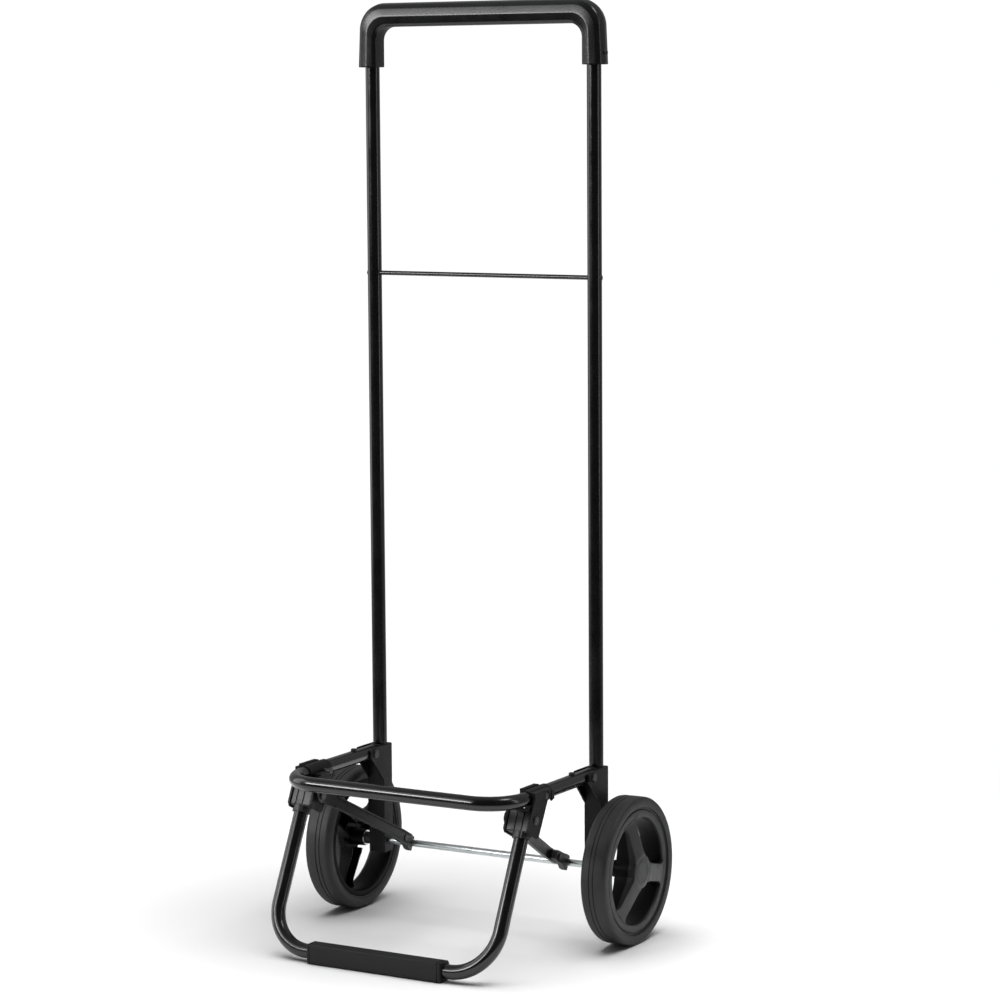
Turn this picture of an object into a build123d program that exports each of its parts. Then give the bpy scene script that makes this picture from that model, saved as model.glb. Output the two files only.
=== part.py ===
from build123d import *
import os
from math import atan2, cos, degrees, radians, sin

# Folding shopping trolley frame: two upright tubes with a moulded handle, a fold-down platform
# with a foot loop and two struts that seat on the axle, and two spoked wheels.
# Millimetres. +Z is up, -Y is the front, +X is the right as seen from the front.
# The origin lies on the ground under the middle of the frame's bounding box.

# --- overall -----------------------------------------------------------------------------------
TOTAL_HEIGHT = 1040.0
TOTAL_DEPTH = 330.0
WHEEL_D = 165.0
TYRE_INNER_X = 162.7
TYRE_OUTER_X = 194.3

# --- tubes and mast ----------------------------------------------------------------------------
TUBE_R = 8.0
TUBE_WALL = 1.2
FIT = 0.05
MAST_X = 141.5
AXLE_R = 4.0
AXLE_Z = WHEEL_D / 2
AXLE_Y = TOTAL_DEPTH / 2 - WHEEL_D / 2
MAST_Y = AXLE_Y - 1.9

# --- handle ------------------------------------------------------------------------------------
HANDLE_T = 27.0
HANDLE_SLEEVE_Z = 968.5
HANDLE_OUTER_R = 33.5
HANDLE_INNER_R = 12.5
HANDLE_EDGE_R = 10.0
HANDLE_SOCKET_Z = 1010.0
HANDLE_SCREW_Z = 981.0

# --- cross rod ---------------------------------------------------------------------------------
ROD_Z = 738.0
ROD_R = 2.5
ROD_HEAD_R = 3.4
ROD_HEAD_T = 0.5

# --- legs --------------------------------------------------------------------------------------
LEG_W = 20.8
LEG_D = 19.6
LEG_TOP_Z = 196.0
LEG_BOTTOM_Z = 70.0
LEG_SOCKET_Z = 104.0
EAR_T = 2.0
EAR_REACH = 35.5
EAR_LAP = 3.0
EAR_PROUD = 0.6
LAP_BOTTOM_Z = 112.0
LEG_SCREW_Z = 150.0

# --- platform ----------------------------------------------------------------------------------
PLATFORM_Z = 189.0
PLATFORM_FRONT_Y = MAST_Y - 204.3
PLATFORM_BEND_R = 42.0
PLATFORM_REAR_Y = MAST_Y - 16.0
HINGE_Y = MAST_Y - 25.9
PIN_R = 3.0
PIN_HEAD_R = 5.0
PIN_HEAD_T = 1.7
BUFFER_Y = MAST_Y - 56.5

# --- foot loop and its pivot -------------------------------------------------------------------
PIVOT_Y = MAST_Y - 158.0
PIVOT_Z = 166.5
FOOT_X = 140.5
FOOT_BAR_Y = -154.0
FOOT_BAR_Z = 11.0
FOOT_BEND_R = 50.0
FOOT_TUBE_ABOVE_PIVOT = 7.0
SLEEVE_HALF = 84.5
SLEEVE_H = 22.0
SLEEVE_D = 21.2
SLEEVE_COLLAR = 0.7

# --- front brackets and knuckles ---------------------------------------------------------------
KNUCKLE_IN_X = 125.4
KNUCKLE_OUT_X = 150.6
CHEEK_T = 2.4
CHEEK_GAP = 0.4
SADDLE_FRONT_Y = MAST_Y - 159.0
SADDLE_REAR_Y = MAST_Y - 117.0
CHEEK_REAR_Y = MAST_Y - 124.8
SADDLE_R = 9.4
SADDLE_RIB_TOP = 199.2
SADDLE_RIB_W = 1.6
BRACKET_RIVET_Y = MAST_Y - 132.5
RIVET_SINK = 1.4
KNUCKLE_SWEEP_R = 14.9
BEND_ROOM = 0.7

# --- struts and axle hooks ---------------------------------------------------------------------
STRUT_T = 2.6
STRUT_H = 13.2
STRUT_LIP = 2.2
STRUT_LIP_T = 1.4
STRUT_EYE_X = 119.4
STRUT_BEND_X = 114.4
STRUT_END_X = 97.3
HOOK_W = 7.0
HOOK_START = 154.0
HOOK_LIP_UP = 7.5
HOOK_LIP_DOWN = 9.5
HOOK_NOTCH_R = 4.35
HOOK_PAST_AXLE = -0.6

# --- wheels ------------------------------------------------------------------------------------
RIM_R = 68.5
BARREL_R = 59.5
SPOKE_W = 20.0
SPOKE_T = 3.0
SPOKE_WALL = 2.5
SPOKE_DEPTH_RIM = 14.0
SPOKE_DEPTH_HUB = 24.0
SPOKE_COUNT = 3
DISH_RIM = 3.5
DISH_HUB = 6.0
HUB_R = 9.5
HUB_PLATE_R = 18.5
HUB_PLATE_T = 13.0
HUB_POCKET_R = 12.0
RIM_OUTER_X = 193.4
RIGHT_SPOKE_ANGLE = -13.5
LEFT_SPOKE_ANGLE = 256.8

SIDES = (("left", -1), ("right", 1))

# the foot loop's plane: unit vectors down the leg and out of its front, in Y and Z
LEG_RUN = atan2(PIVOT_Y - FOOT_BAR_Y, PIVOT_Z - FOOT_BAR_Z)
DOWN = Vector(0, -sin(LEG_RUN), -cos(LEG_RUN))
FRONT = Vector(0, -cos(LEG_RUN), sin(LEG_RUN))
PIVOT = Vector(0, PIVOT_Y, PIVOT_Z)
AXLE = Vector(0, AXLE_Y, AXLE_Z)
STRUT_SPAN = (AXLE - PIVOT).length


# --- general shapes ----------------------------------------------------------------------------
def rod_x(x0, x1, y, z, r):
    """Solid round bar along X."""
    return Pos((x0 + x1) / 2, y, z) * Rot(0, 90, 0) * Cylinder(r, abs(x1 - x0))


def ring_x(x0, x1, y, z, r_out, r_in):
    """Plain ring along X."""
    lo, hi = sorted((x0, x1))
    return rod_x(lo, hi, y, z, r_out) - rod_x(lo - 1, hi + 1, y, z, r_in)


def dome_x(x0, x1, y, z, r):
    """Low domed rivet head on a flat face at x0, its crown at x1."""
    edge = rod_x(x0, x1, y, z, r)
    rim = edge.edges().filter_by(GeomType.CIRCLE).sort_by(Axis.X)
    outer = rim[-1] if x1 > x0 else rim[0]
    return fillet(outer, abs(x1 - x0) * 0.75)


def box_between(x0, x1, y0, y1, z0, z1):
    """Box from its limits."""
    return Pos((x0 + x1) / 2, (y0 + y1) / 2, (z0 + z1) / 2) * Box(abs(x1 - x0), abs(y1 - y0), abs(z1 - z0))


def plate_x(points, x0, x1, corner=0.0):
    """Flat plate across X, from its outline in Y and Z."""
    face = make_face(Polyline(*[(0, y, z) for y, z in points], close=True))
    if corner:
        face = fillet(face.vertices(), corner)
    lo, hi = sorted((x0, x1))
    return Pos(lo, 0, 0) * extrude(face, hi - lo, dir=(1, 0, 0))


def mirror_side(shape, side):
    """Right-hand shape as it is, or its mirror image for the left."""
    return shape if side > 0 else mirror(shape, Plane.YZ)


def bent_tube(points, radii, holes=()):
    """Round tube with wall along straight runs and bends."""
    path = FilletPolyline(*points, radius=radii)
    start = Plane(path @ 0, z_dir=path % 0)
    outer = sweep(start * Circle(TUBE_R), path)
    inner = sweep(start * Circle(TUBE_R - TUBE_WALL), path)
    tube = outer - inner
    for hole in holes:
        tube -= hole
    return tube


# --- mast --------------------------------------------------------------------------------------
def handle_grip():
    half = MAST_X + HANDLE_T / 2
    inner = MAST_X - HANDLE_T / 2
    height = TOTAL_HEIGHT - HANDLE_SLEEVE_Z
    blank = Pos(0, MAST_Y, TOTAL_HEIGHT - height / 2) * Box(2 * half, HANDLE_T, height)
    gap_top = TOTAL_HEIGHT - HANDLE_T
    gap = box_between(-inner, inner, MAST_Y - 30, MAST_Y + 30, HANDLE_SLEEVE_Z - 1, gap_top)
    grip = blank - gap
    across = grip.edges().filter_by(Axis.Y)
    grip = fillet([e for e in across if e.center().Z > TOTAL_HEIGHT - 1], HANDLE_OUTER_R)
    across = grip.edges().filter_by(Axis.Y)
    grip = fillet([e for e in across if abs(e.center().Z - gap_top) < 1], HANDLE_INNER_R)
    along = [e for e in grip.edges() if e.center().Z > HANDLE_SLEEVE_Z + 1]
    long_edges = [e for e in along if not (e.geom_type == GeomType.LINE and abs(e.tangent_at(0).Y) > 0.9)]
    grip = fillet(long_edges, HANDLE_EDGE_R)
    for _, side in SIDES:
        depth = HANDLE_SOCKET_Z - HANDLE_SLEEVE_Z
        socket = Cylinder(TUBE_R + FIT, depth + 1)
        grip -= Pos(side * MAST_X, MAST_Y, HANDLE_SOCKET_Z - (depth + 1) / 2) * socket
        grip -= rod_x(side * MAST_X, side * (half + 5), MAST_Y, HANDLE_SCREW_Z, 2.0)
    return grip


def handle_screws():
    face = MAST_X + HANDLE_T / 2
    out = []
    for _, side in SIDES:
        shank = rod_x(side * (MAST_X + 4), side * face, MAST_Y, HANDLE_SCREW_Z, 1.95)
        head = dome_x(side * face, side * (face + 2.2), MAST_Y, HANDLE_SCREW_Z, 4.0)
        slot = box_between(side * (face + 1.2), side * (face + 3), MAST_Y - 0.4, MAST_Y + 0.4,
                           HANDLE_SCREW_Z - 2.4, HANDLE_SCREW_Z + 2.4)
        cross = box_between(side * (face + 1.2), side * (face + 3), MAST_Y - 2.4, MAST_Y + 2.4,
                            HANDLE_SCREW_Z - 0.4, HANDLE_SCREW_Z + 0.4)
        out.append(shank + head - slot - cross)
    return out


def upright_tube(side):
    length = HANDLE_SOCKET_Z - LEG_SOCKET_Z
    mid = (HANDLE_SOCKET_Z + LEG_SOCKET_Z) / 2
    x = side * MAST_X
    tube = Pos(x, MAST_Y, mid) * (Cylinder(TUBE_R, length) - Cylinder(TUBE_R - TUBE_WALL, length + 2))
    tube -= rod_x(x - 20, x + 20, MAST_Y, ROD_Z, ROD_R + FIT)
    tube -= rod_x(x, x + side * 20, MAST_Y, HANDLE_SCREW_Z, 2.0)
    tube -= Pos(x, MAST_Y + 10, LEG_SCREW_Z) * Rot(90, 0, 0) * Cylinder(1.7, 20)
    return tube


def cross_rod():
    face = MAST_X + TUBE_R
    rod = rod_x(-face, face, MAST_Y, ROD_Z, ROD_R)
    for _, side in SIDES:
        rod += dome_x(side * (face - 0.3), side * (face + ROD_HEAD_T), MAST_Y, ROD_Z, ROD_HEAD_R)
    return rod - ring_cutters()


def ring_cutters():
    """The heads sit on the tube's round outside."""
    cut = None
    for _, side in SIDES:
        bar = Pos(side * MAST_X, MAST_Y, ROD_Z) * (Cylinder(TUBE_R, 30) - Cylinder(TUBE_R - TUBE_WALL, 30))
        bar -= rod_x(side * (MAST_X - 20), side * (MAST_X + 20), MAST_Y, ROD_Z, ROD_R)
        cut = bar if cut is None else cut + bar
    return cut


# --- legs --------------------------------------------------------------------------------------
def leg_box(side):
    height = LEG_TOP_Z - LEG_BOTTOM_Z
    body = Pos(MAST_X, MAST_Y, LEG_TOP_Z - height / 2) * Box(LEG_W, LEG_D, height)
    body = fillet(body.edges().filter_by(Axis.Z), 1.6)
    front = MAST_Y - LEG_D / 2
    tip = MAST_Y - EAR_REACH
    ear = [(front + 4, LEG_TOP_Z), (tip + 3, LEG_TOP_Z), (tip, LEG_TOP_Z - 3.5), (tip, LEG_TOP_Z - 11),
           (tip + 4, LEG_TOP_Z - 15), (front, LEG_TOP_Z - 39.5), (front + 4, LEG_TOP_Z - 39.5)]
    for x0 in (MAST_X - LEG_W / 2, MAST_X + LEG_W / 2 - EAR_T):
        body += plate_x(ear, x0, x0 + EAR_T)
    lap = [(MAST_Y + EAR_LAP, LEG_TOP_Z), *ear[1:6], (front, LAP_BOTTOM_Z), (MAST_Y + EAR_LAP, LAP_BOTTOM_Z)]
    outside = MAST_X + LEG_W / 2
    body += plate_x(lap, outside - EAR_T, outside + EAR_PROUD)
    top_edges = body.faces().sort_by(Axis.Z)[-1].edges()
    body = chamfer(top_edges.filter_by(Axis.X), 0.6)
    bore = LEG_TOP_Z - LEG_SOCKET_Z
    body -= Pos(MAST_X, MAST_Y, LEG_SOCKET_Z + bore / 2 + 1) * Cylinder(TUBE_R + FIT, bore + 2)
    body -= rod_x(MAST_X - 20, MAST_X + 20, AXLE_Y, AXLE_Z, AXLE_R + FIT)
    body -= rod_x(MAST_X - 20, MAST_X + 20, HINGE_Y, PLATFORM_Z, PIN_R + FIT)
    body -= Pos(MAST_X, MAST_Y + 10, LEG_SCREW_Z) * Rot(90, 0, 0) * Cylinder(1.7, 12)
    return mirror_side(body, side)


def leg_screws():
    """Pan-head screws from behind, through the leg and into the tube."""
    rear = MAST_Y + LEG_D / 2
    out = []
    for _, side in SIDES:
        at = Pos(side * MAST_X, 0, LEG_SCREW_Z) * Rot(90, 0, 0)
        shank = Pos(0, rear - 2, 0) * at * Cylinder(1.65, 6)
        head = Pos(0, rear + 1, 0) * at * Cylinder(3.6, 2.0)
        head = fillet(head.edges().filter_by(GeomType.CIRCLE).sort_by(Axis.Y)[-1], 1.4)
        slot = Pos(side * MAST_X, rear + 1.8, LEG_SCREW_Z) * Box(0.8, 1.6, 4.4)
        cross = Pos(side * MAST_X, rear + 1.8, LEG_SCREW_Z) * Box(4.4, 1.6, 0.8)
        out.append(shank + head - slot - cross)
    return out


def platform_hinge_pins():
    out = []
    for _, side in SIDES:
        x_in = side * (MAST_X - LEG_W / 2)
        x_out = side * (MAST_X + LEG_W / 2 + EAR_PROUD)
        pin = rod_x(x_in, x_out, HINGE_Y, PLATFORM_Z, PIN_R)
        pin += dome_x(x_out, x_out + side * PIN_HEAD_T, HINGE_Y, PLATFORM_Z, PIN_HEAD_R)
        pin += dome_x(x_in, x_in - side * PIN_HEAD_T, HINGE_Y, PLATFORM_Z, PIN_HEAD_R)
        out.append(pin)
    return out


# --- axle --------------------------------------------------------------------------------------
HUB_IN_X = TYRE_INNER_X + 0.4
POCKET_FLOOR_X = 188.0
AXLE_END_X = 192.0


def axle():
    bar = rod_x(-AXLE_END_X, AXLE_END_X, AXLE_Y, AXLE_Z, AXLE_R)
    return chamfer(bar.edges().filter_by(GeomType.CIRCLE), 0.6)


def axle_spacer(side):
    face = MAST_X + LEG_W / 2
    return ring_x(side * face, side * (HUB_IN_X - 1.3), AXLE_Y, AXLE_Z, 7.0, AXLE_R + FIT)


def axle_washers():
    out = []
    for _, side in SIDES:
        out.append(ring_x(side * (HUB_IN_X - 1.3), side * (HUB_IN_X - 0.3), AXLE_Y, AXLE_Z, 8.5, AXLE_R + FIT))
        out.append(ring_x(side * (POCKET_FLOOR_X + 0.3), side * (POCKET_FLOOR_X + 1.3),
                          AXLE_Y, AXLE_Z, 8.5, AXLE_R + FIT))
    return out


def axle_push_nuts():
    out = []
    for _, side in SIDES:
        seat = POCKET_FLOOR_X + 1.3
        nut = ring_x(side * seat, side * (seat + 1.2), AXLE_Y, AXLE_Z, 7.2, AXLE_R + FIT)
        crown = ring_x(side * (seat + 1.2), side * (seat + 2.0), AXLE_Y, AXLE_Z, 5.6, AXLE_R + FIT)
        out.append(nut + crown)
    return out


# --- platform ----------------------------------------------------------------------------------
def platform_tube():
    x = MAST_X
    points = [(-x, PLATFORM_REAR_Y, PLATFORM_Z), (-x, PLATFORM_FRONT_Y, PLATFORM_Z),
              (x, PLATFORM_FRONT_Y, PLATFORM_Z), (x, PLATFORM_REAR_Y, PLATFORM_Z)]
    holes = []
    for _, side in SIDES:
        holes.append(rod_x(side * (x - 12), side * (x + 12), HINGE_Y, PLATFORM_Z, PIN_R + FIT))
        holes.append(rod_x(side * (x - 12), side * (x + 12), BRACKET_RIVET_Y, PLATFORM_Z, 2.5 + FIT))
        holes.append(Pos(side * x, BUFFER_Y, PLATFORM_Z + 8) * Cylinder(1.5 + FIT, 8))
    return bent_tube(points, PLATFORM_BEND_R, holes)


def platform_buffers():
    """Soft buttons that meet the uprights when the platform is folded up."""
    out = []
    for _, side in SIDES:
        at = Pos(side * MAST_X, BUFFER_Y, 0)
        head = at * Pos(0, 0, PLATFORM_Z + TUBE_R + 1.0) * Cylinder(3.4, 2.8)
        head = fillet(head.edges().filter_by(GeomType.CIRCLE).sort_by(Axis.Z)[-1], 1.4)
        seat = Pos(side * MAST_X, BUFFER_Y, PLATFORM_Z) * Rot(90, 0, 0) * Cylinder(TUBE_R, 12)
        stem = at * Pos(0, 0, PLATFORM_Z + TUBE_R - 0.8) * Cylinder(1.5, 3.2)
        out.append((head - seat) + stem)
    return out


def leg_point(down, front):
    """Point in the foot loop's plane, from the pivot, as (Y, Z)."""
    p = PIVOT + DOWN * down + FRONT * front
    return p.Y, p.Z


def front_bracket(side):
    """Sleeve round the platform tube with two cheeks. Its ribbed edge faces -X on both sides."""
    cheek_out = KNUCKLE_OUT_X + CHEEK_GAP
    cheek_in = KNUCKLE_IN_X - CHEEK_GAP
    outer_x = cheek_out + CHEEK_T
    inner_x = cheek_in - CHEEK_T
    run = SADDLE_REAR_Y - SADDLE_FRONT_Y
    mid_y = (SADDLE_REAR_Y + SADDLE_FRONT_Y) / 2
    web_front_y = SADDLE_FRONT_Y - 9
    along = Pos(MAST_X, mid_y, PLATFORM_Z) * Rot(90, 0, 0)
    bracket = along * Cylinder(SADDLE_R, run)
    bracket += box_between(inner_x, MAST_X, SADDLE_FRONT_Y + 6, CHEEK_REAR_Y, PLATFORM_Z - 7, PLATFORM_Z)
    bracket += box_between(MAST_X, outer_x, SADDLE_FRONT_Y, SADDLE_REAR_Y, PLATFORM_Z - 4, PLATFORM_Z + 2)
    bracket += box_between(MAST_X + 4, outer_x, SADDLE_FRONT_Y, CHEEK_REAR_Y, PLATFORM_Z, PLATFORM_Z + 7.2)
    rib_x = MAST_X - side * 5.6
    rib_y = SADDLE_FRONT_Y + 3
    while rib_y < SADDLE_REAR_Y - 10:
        bracket += box_between(rib_x - 3.2, rib_x + 3.2, rib_y, rib_y + SADDLE_RIB_W, PLATFORM_Z, SADDLE_RIB_TOP)
        rib_y += 2 * SADDLE_RIB_W
    web = box_between(MAST_X - 7, cheek_out, web_front_y, SADDLE_FRONT_Y + 3, PLATFORM_Z - 13, PLATFORM_Z - 5)
    web -= rod_x(MAST_X - 20, MAST_X + 20, PIVOT_Y, PIVOT_Z, KNUCKLE_SWEEP_R)
    bracket += web
    lower = [leg_point(14, 12), leg_point(18, 8), leg_point(18, -10), leg_point(15, -14)]
    cheek = [(SADDLE_FRONT_Y + 4, PLATFORM_Z + 5), leg_point(-14, 12), *lower,
             (CHEEK_REAR_Y, PLATFORM_Z + 7.2), (SADDLE_FRONT_Y + 14, PLATFORM_Z + 7.2)]
    bracket += plate_x(cheek, cheek_out, outer_x)
    bracket += plate_x([*cheek[1:-2], (CHEEK_REAR_Y, PLATFORM_Z - 2), (SADDLE_FRONT_Y + 6, PLATFORM_Z - 2)],
                       inner_x, cheek_in)
    tab = [(SADDLE_REAR_Y, PLATFORM_Z + 3), (SADDLE_REAR_Y, PLATFORM_Z - 5.5),
           (CHEEK_REAR_Y + 1.5, PLATFORM_Z - 7.5), (CHEEK_REAR_Y + 2, PLATFORM_Z + 4)]
    bracket += plate_x(tab, cheek_out, outer_x)
    bracket -= box_between(cheek_out - 2.5, outer_x + 1, CHEEK_REAR_Y, CHEEK_REAR_Y + 2,
                           PLATFORM_Z - 12, PLATFORM_Z + 8)
    bracket -= along * Cylinder(TUBE_R + FIT, run + 80)
    bracket -= Pos(0, web_front_y - mid_y + 4, 0) * along * Cylinder(TUBE_R + BEND_ROOM, 10)
    bracket -= rod_x(inner_x - 10, outer_x + 10, PIVOT_Y, PIVOT_Z, PIN_R + FIT)
    bracket -= rod_x(inner_x - 10, outer_x + 10, BRACKET_RIVET_Y, PLATFORM_Z, 2.5 + FIT)
    for x0, x1 in ((inner_x - 1, inner_x + RIVET_SINK), (outer_x - RIVET_SINK, outer_x + 1)):
        bracket -= rod_x(x0, x1, BRACKET_RIVET_Y, PLATFORM_Z, 4.8)
    return mirror_side(bracket, side)


def bracket_rivets():
    """Rivets that hold the sleeves on the platform tube, sunk in their recesses."""
    outer_x = KNUCKLE_OUT_X + CHEEK_GAP + CHEEK_T
    inner_x = KNUCKLE_IN_X - CHEEK_GAP - CHEEK_T
    out = []
    for _, side in SIDES:
        x_in = side * (inner_x + RIVET_SINK)
        x_out = side * (outer_x - RIVET_SINK)
        pin = rod_x(x_in, x_out, BRACKET_RIVET_Y, PLATFORM_Z, 2.5)
        pin += dome_x(x_out, x_out + side * 1.3, BRACKET_RIVET_Y, PLATFORM_Z, 4.0)
        pin += dome_x(x_in, x_in - side * 1.3, BRACKET_RIVET_Y, PLATFORM_Z, 4.0)
        out.append(pin)
    return out


def bracket_pins():
    """Pivot rivets through bracket, knuckle, foot tube and strut eye."""
    outer_x = KNUCKLE_OUT_X + CHEEK_GAP + CHEEK_T
    inner_x = STRUT_EYE_X - STRUT_T / 2 - 0.3
    out = []
    for _, side in SIDES:
        pin = rod_x(side * inner_x, side * outer_x, PIVOT_Y, PIVOT_Z, PIN_R)
        pin += dome_x(side * outer_x, side * (outer_x + PIN_HEAD_T), PIVOT_Y, PIVOT_Z, PIN_HEAD_R)
        pin += dome_x(side * inner_x, side * (inner_x - PIN_HEAD_T), PIVOT_Y, PIVOT_Z, PIN_HEAD_R)
        out.append(pin)
    return out


# --- foot --------------------------------------------------------------------------------------
def foot_loop_tube():
    top_y, top_z = leg_point(-FOOT_TUBE_ABOVE_PIVOT, 0)
    points = [(-FOOT_X, top_y, top_z), (-FOOT_X, FOOT_BAR_Y, FOOT_BAR_Z),
              (FOOT_X, FOOT_BAR_Y, FOOT_BAR_Z), (FOOT_X, top_y, top_z)]
    holes = [rod_x(s * (FOOT_X - 12), s * (FOOT_X + 12), PIVOT_Y, PIVOT_Z, PIN_R + FIT) for _, s in SIDES]
    return bent_tube(points, FOOT_BEND_R, holes)


def foot_sleeve():
    body = Pos(0, FOOT_BAR_Y, SLEEVE_H / 2) * Box(2 * SLEEVE_HALF, SLEEVE_D, SLEEVE_H)
    body = fillet(body.edges().filter_by(Axis.X), 4.5)
    for _, side in SIDES:
        collar = Pos(side * (SLEEVE_HALF - 2), FOOT_BAR_Y, (SLEEVE_H + SLEEVE_COLLAR) / 2)
        collar = collar * Box(4, SLEEVE_D + 2 * SLEEVE_COLLAR * 0.57, SLEEVE_H + SLEEVE_COLLAR)
        body += fillet(collar.edges().filter_by(Axis.X), 5.0)
    body -= rod_x(-SLEEVE_HALF - 5, SLEEVE_HALF + 5, FOOT_BAR_Y, FOOT_BAR_Z, TUBE_R + FIT)
    return body


def leg_plane(x=0.0):
    """Plane at the pivot whose X is across, Y is the loop's front and Z runs up the leg."""
    return Plane(origin=(x, PIVOT_Y, PIVOT_Z), x_dir=(1, 0, 0), z_dir=-DOWN)


def foot_knuckle(side):
    width = KNUCKLE_OUT_X - KNUCKLE_IN_X
    mid = (KNUCKLE_OUT_X + KNUCKLE_IN_X) / 2
    lie = leg_plane()
    # in this plane +Y points to the rear of the loop
    block = lie * Pos(mid, -0.5, -3) * Box(width, 19, 26)
    block = fillet(block.edges().filter_by(Axis.X), 2.2)
    collar = lie * Pos(FOOT_X, 0, -18.5) * Cylinder(10.1, 7)
    knuckle = block + collar
    for groove in (FOOT_X + 3.4, FOOT_X - 5.2):
        knuckle -= lie * Pos(groove, -10, -4) * Box(1.8, 2.2, 40)
    knuckle -= lie * Pos(FOOT_X, 0, -30 + FOOT_TUBE_ABOVE_PIVOT) * Cylinder(TUBE_R + FIT, 60)
    knuckle -= rod_x(KNUCKLE_IN_X - 5, KNUCKLE_OUT_X + 5, PIVOT_Y, PIVOT_Z, PIN_R + FIT)
    return mirror_side(knuckle, side)


# --- struts ------------------------------------------------------------------------------------
def strut_plane():
    """Plane at the pivot whose X is across, Y runs down the strut and Z stands square to it."""
    along = (AXLE - PIVOT) / STRUT_SPAN
    return Plane(origin=PIVOT, x_dir=(1, 0, 0), z_dir=Vector(1, 0, 0).cross(along))


def strip_outline(points, thickness):
    """Outline of a bent strip of even thickness, from its centre line in X and Y."""
    half = thickness / 2
    left = [(x - half, y) for x, y in points]
    right = [(x + half, y) for x, y in points]
    return left + right[::-1]


def strut(side):
    lie = strut_plane()
    line = [(STRUT_EYE_X, -8), (STRUT_EYE_X, 9), (STRUT_BEND_X, 22),
            (STRUT_END_X, HOOK_START - 9), (STRUT_END_X, HOOK_START + 12)]
    face = make_face(Polyline(*strip_outline(line, STRUT_T), close=True))
    bar = extrude(face, STRUT_H / 2, both=True)
    lip_line = [(x - STRUT_LIP / 2, y) for x, y in line[2:]]
    lip_face = make_face(Polyline(*strip_outline(lip_line, STRUT_T + STRUT_LIP), close=True))
    for edge in (1, -1):
        bar += Pos(0, 0, edge * (STRUT_H - STRUT_LIP_T) / 2) * extrude(lip_face, STRUT_LIP_T / 2, both=True)
    eye = Pos(STRUT_EYE_X, 0, 0) * Rot(0, 90, 0) * Cylinder(STRUT_H / 2 + 1.5, STRUT_T)
    end_cut = Pos(STRUT_EYE_X, -9, 0) * Box(12, 18, STRUT_H + 4)
    bar = (bar - end_cut) + eye
    bar = lie * bar
    bar -= rod_x(STRUT_EYE_X - 10, STRUT_EYE_X + 10, PIVOT_Y, PIVOT_Z, PIN_R + FIT)
    bar -= lie * (Pos(STRUT_END_X, HOOK_START + 3, 0) * Rot(0, 90, 0) * Cylinder(2 + FIT, 12))
    return mirror_side(bar, side)


def axle_hook(side):
    lie = strut_plane()
    x0 = STRUT_END_X + STRUT_T / 2
    tip = STRUT_SPAN + HOOK_PAST_AXLE
    outline = [(HOOK_START - 6, -4.5), (HOOK_START - 3, -5.9), (STRUT_SPAN - 14, -5.9),
               (STRUT_SPAN - 7, -HOOK_LIP_DOWN), (tip, -HOOK_LIP_DOWN), (tip, HOOK_LIP_UP - 1.5),
               (tip - 2, HOOK_LIP_UP), (STRUT_SPAN - 8, HOOK_LIP_UP), (STRUT_SPAN - 16, 6.4),
               (HOOK_START - 3, 5.9), (HOOK_START - 6, 4.5)]
    face = make_face(Polyline(*[(0, y, z) for y, z in outline], close=True))
    hook = Pos(x0, 0, 0) * extrude(face, HOOK_W, dir=(1, 0, 0))
    hook -= Pos(x0, STRUT_SPAN, 0) * Rot(0, 90, 0) * Cylinder(HOOK_NOTCH_R, 3 * HOOK_W)
    hook -= Pos(x0, STRUT_SPAN + 5, 0) * Box(3 * HOOK_W, 10, 2 * HOOK_NOTCH_R)
    hook -= Pos(x0, HOOK_START + 3, 0) * Rot(0, 90, 0) * Cylinder(2 + FIT, 3 * HOOK_W)
    return mirror_side(lie * hook, side)


def hook_rivet(side):
    lie = strut_plane()
    x0 = STRUT_END_X - STRUT_T / 2
    x1 = STRUT_END_X + STRUT_T / 2 + HOOK_W
    at = HOOK_START + 3
    rivet = rod_x(x0, x1, at, 0, 2.0) + dome_x(x0, x0 - 1.2, at, 0, 3.6) + dome_x(x1, x1 + 1.2, at, 0, 3.6)
    return mirror_side(lie * rivet, side)


# --- wheels ------------------------------------------------------------------------------------
def revolve_about_axle(points):
    """Ring from its half section, given as X and radius."""
    face = make_face(Polyline(*[(x, 0, r) for x, r in points], close=True))
    return Pos(0, AXLE_Y, AXLE_Z) * revolve(face, Axis.X)


def tyre(side):
    out_r = WHEEL_D / 2
    x0, x1 = TYRE_INNER_X, TYRE_OUTER_X
    shoulder = 4.0
    half = [(x0 + 1.6, RIM_R), (x0, RIM_R + 3.0), (x0, out_r - shoulder), (x0 + 1.2, out_r - 1.2),
            (x0 + shoulder, out_r)]
    mirrored = [(x0 + x1 - x, r) for x, r in half[::-1]]
    ring = revolve_about_axle(half + mirrored)
    for at in (x0 + 8.5, x1 - 8.5):
        ring -= revolve_about_axle([(at - 0.7, out_r + 1), (at - 0.7, out_r - 1.0),
                                    (at + 0.7, out_r - 1.0), (at + 0.7, out_r + 1)])
    return mirror_side(ring, side)


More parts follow.
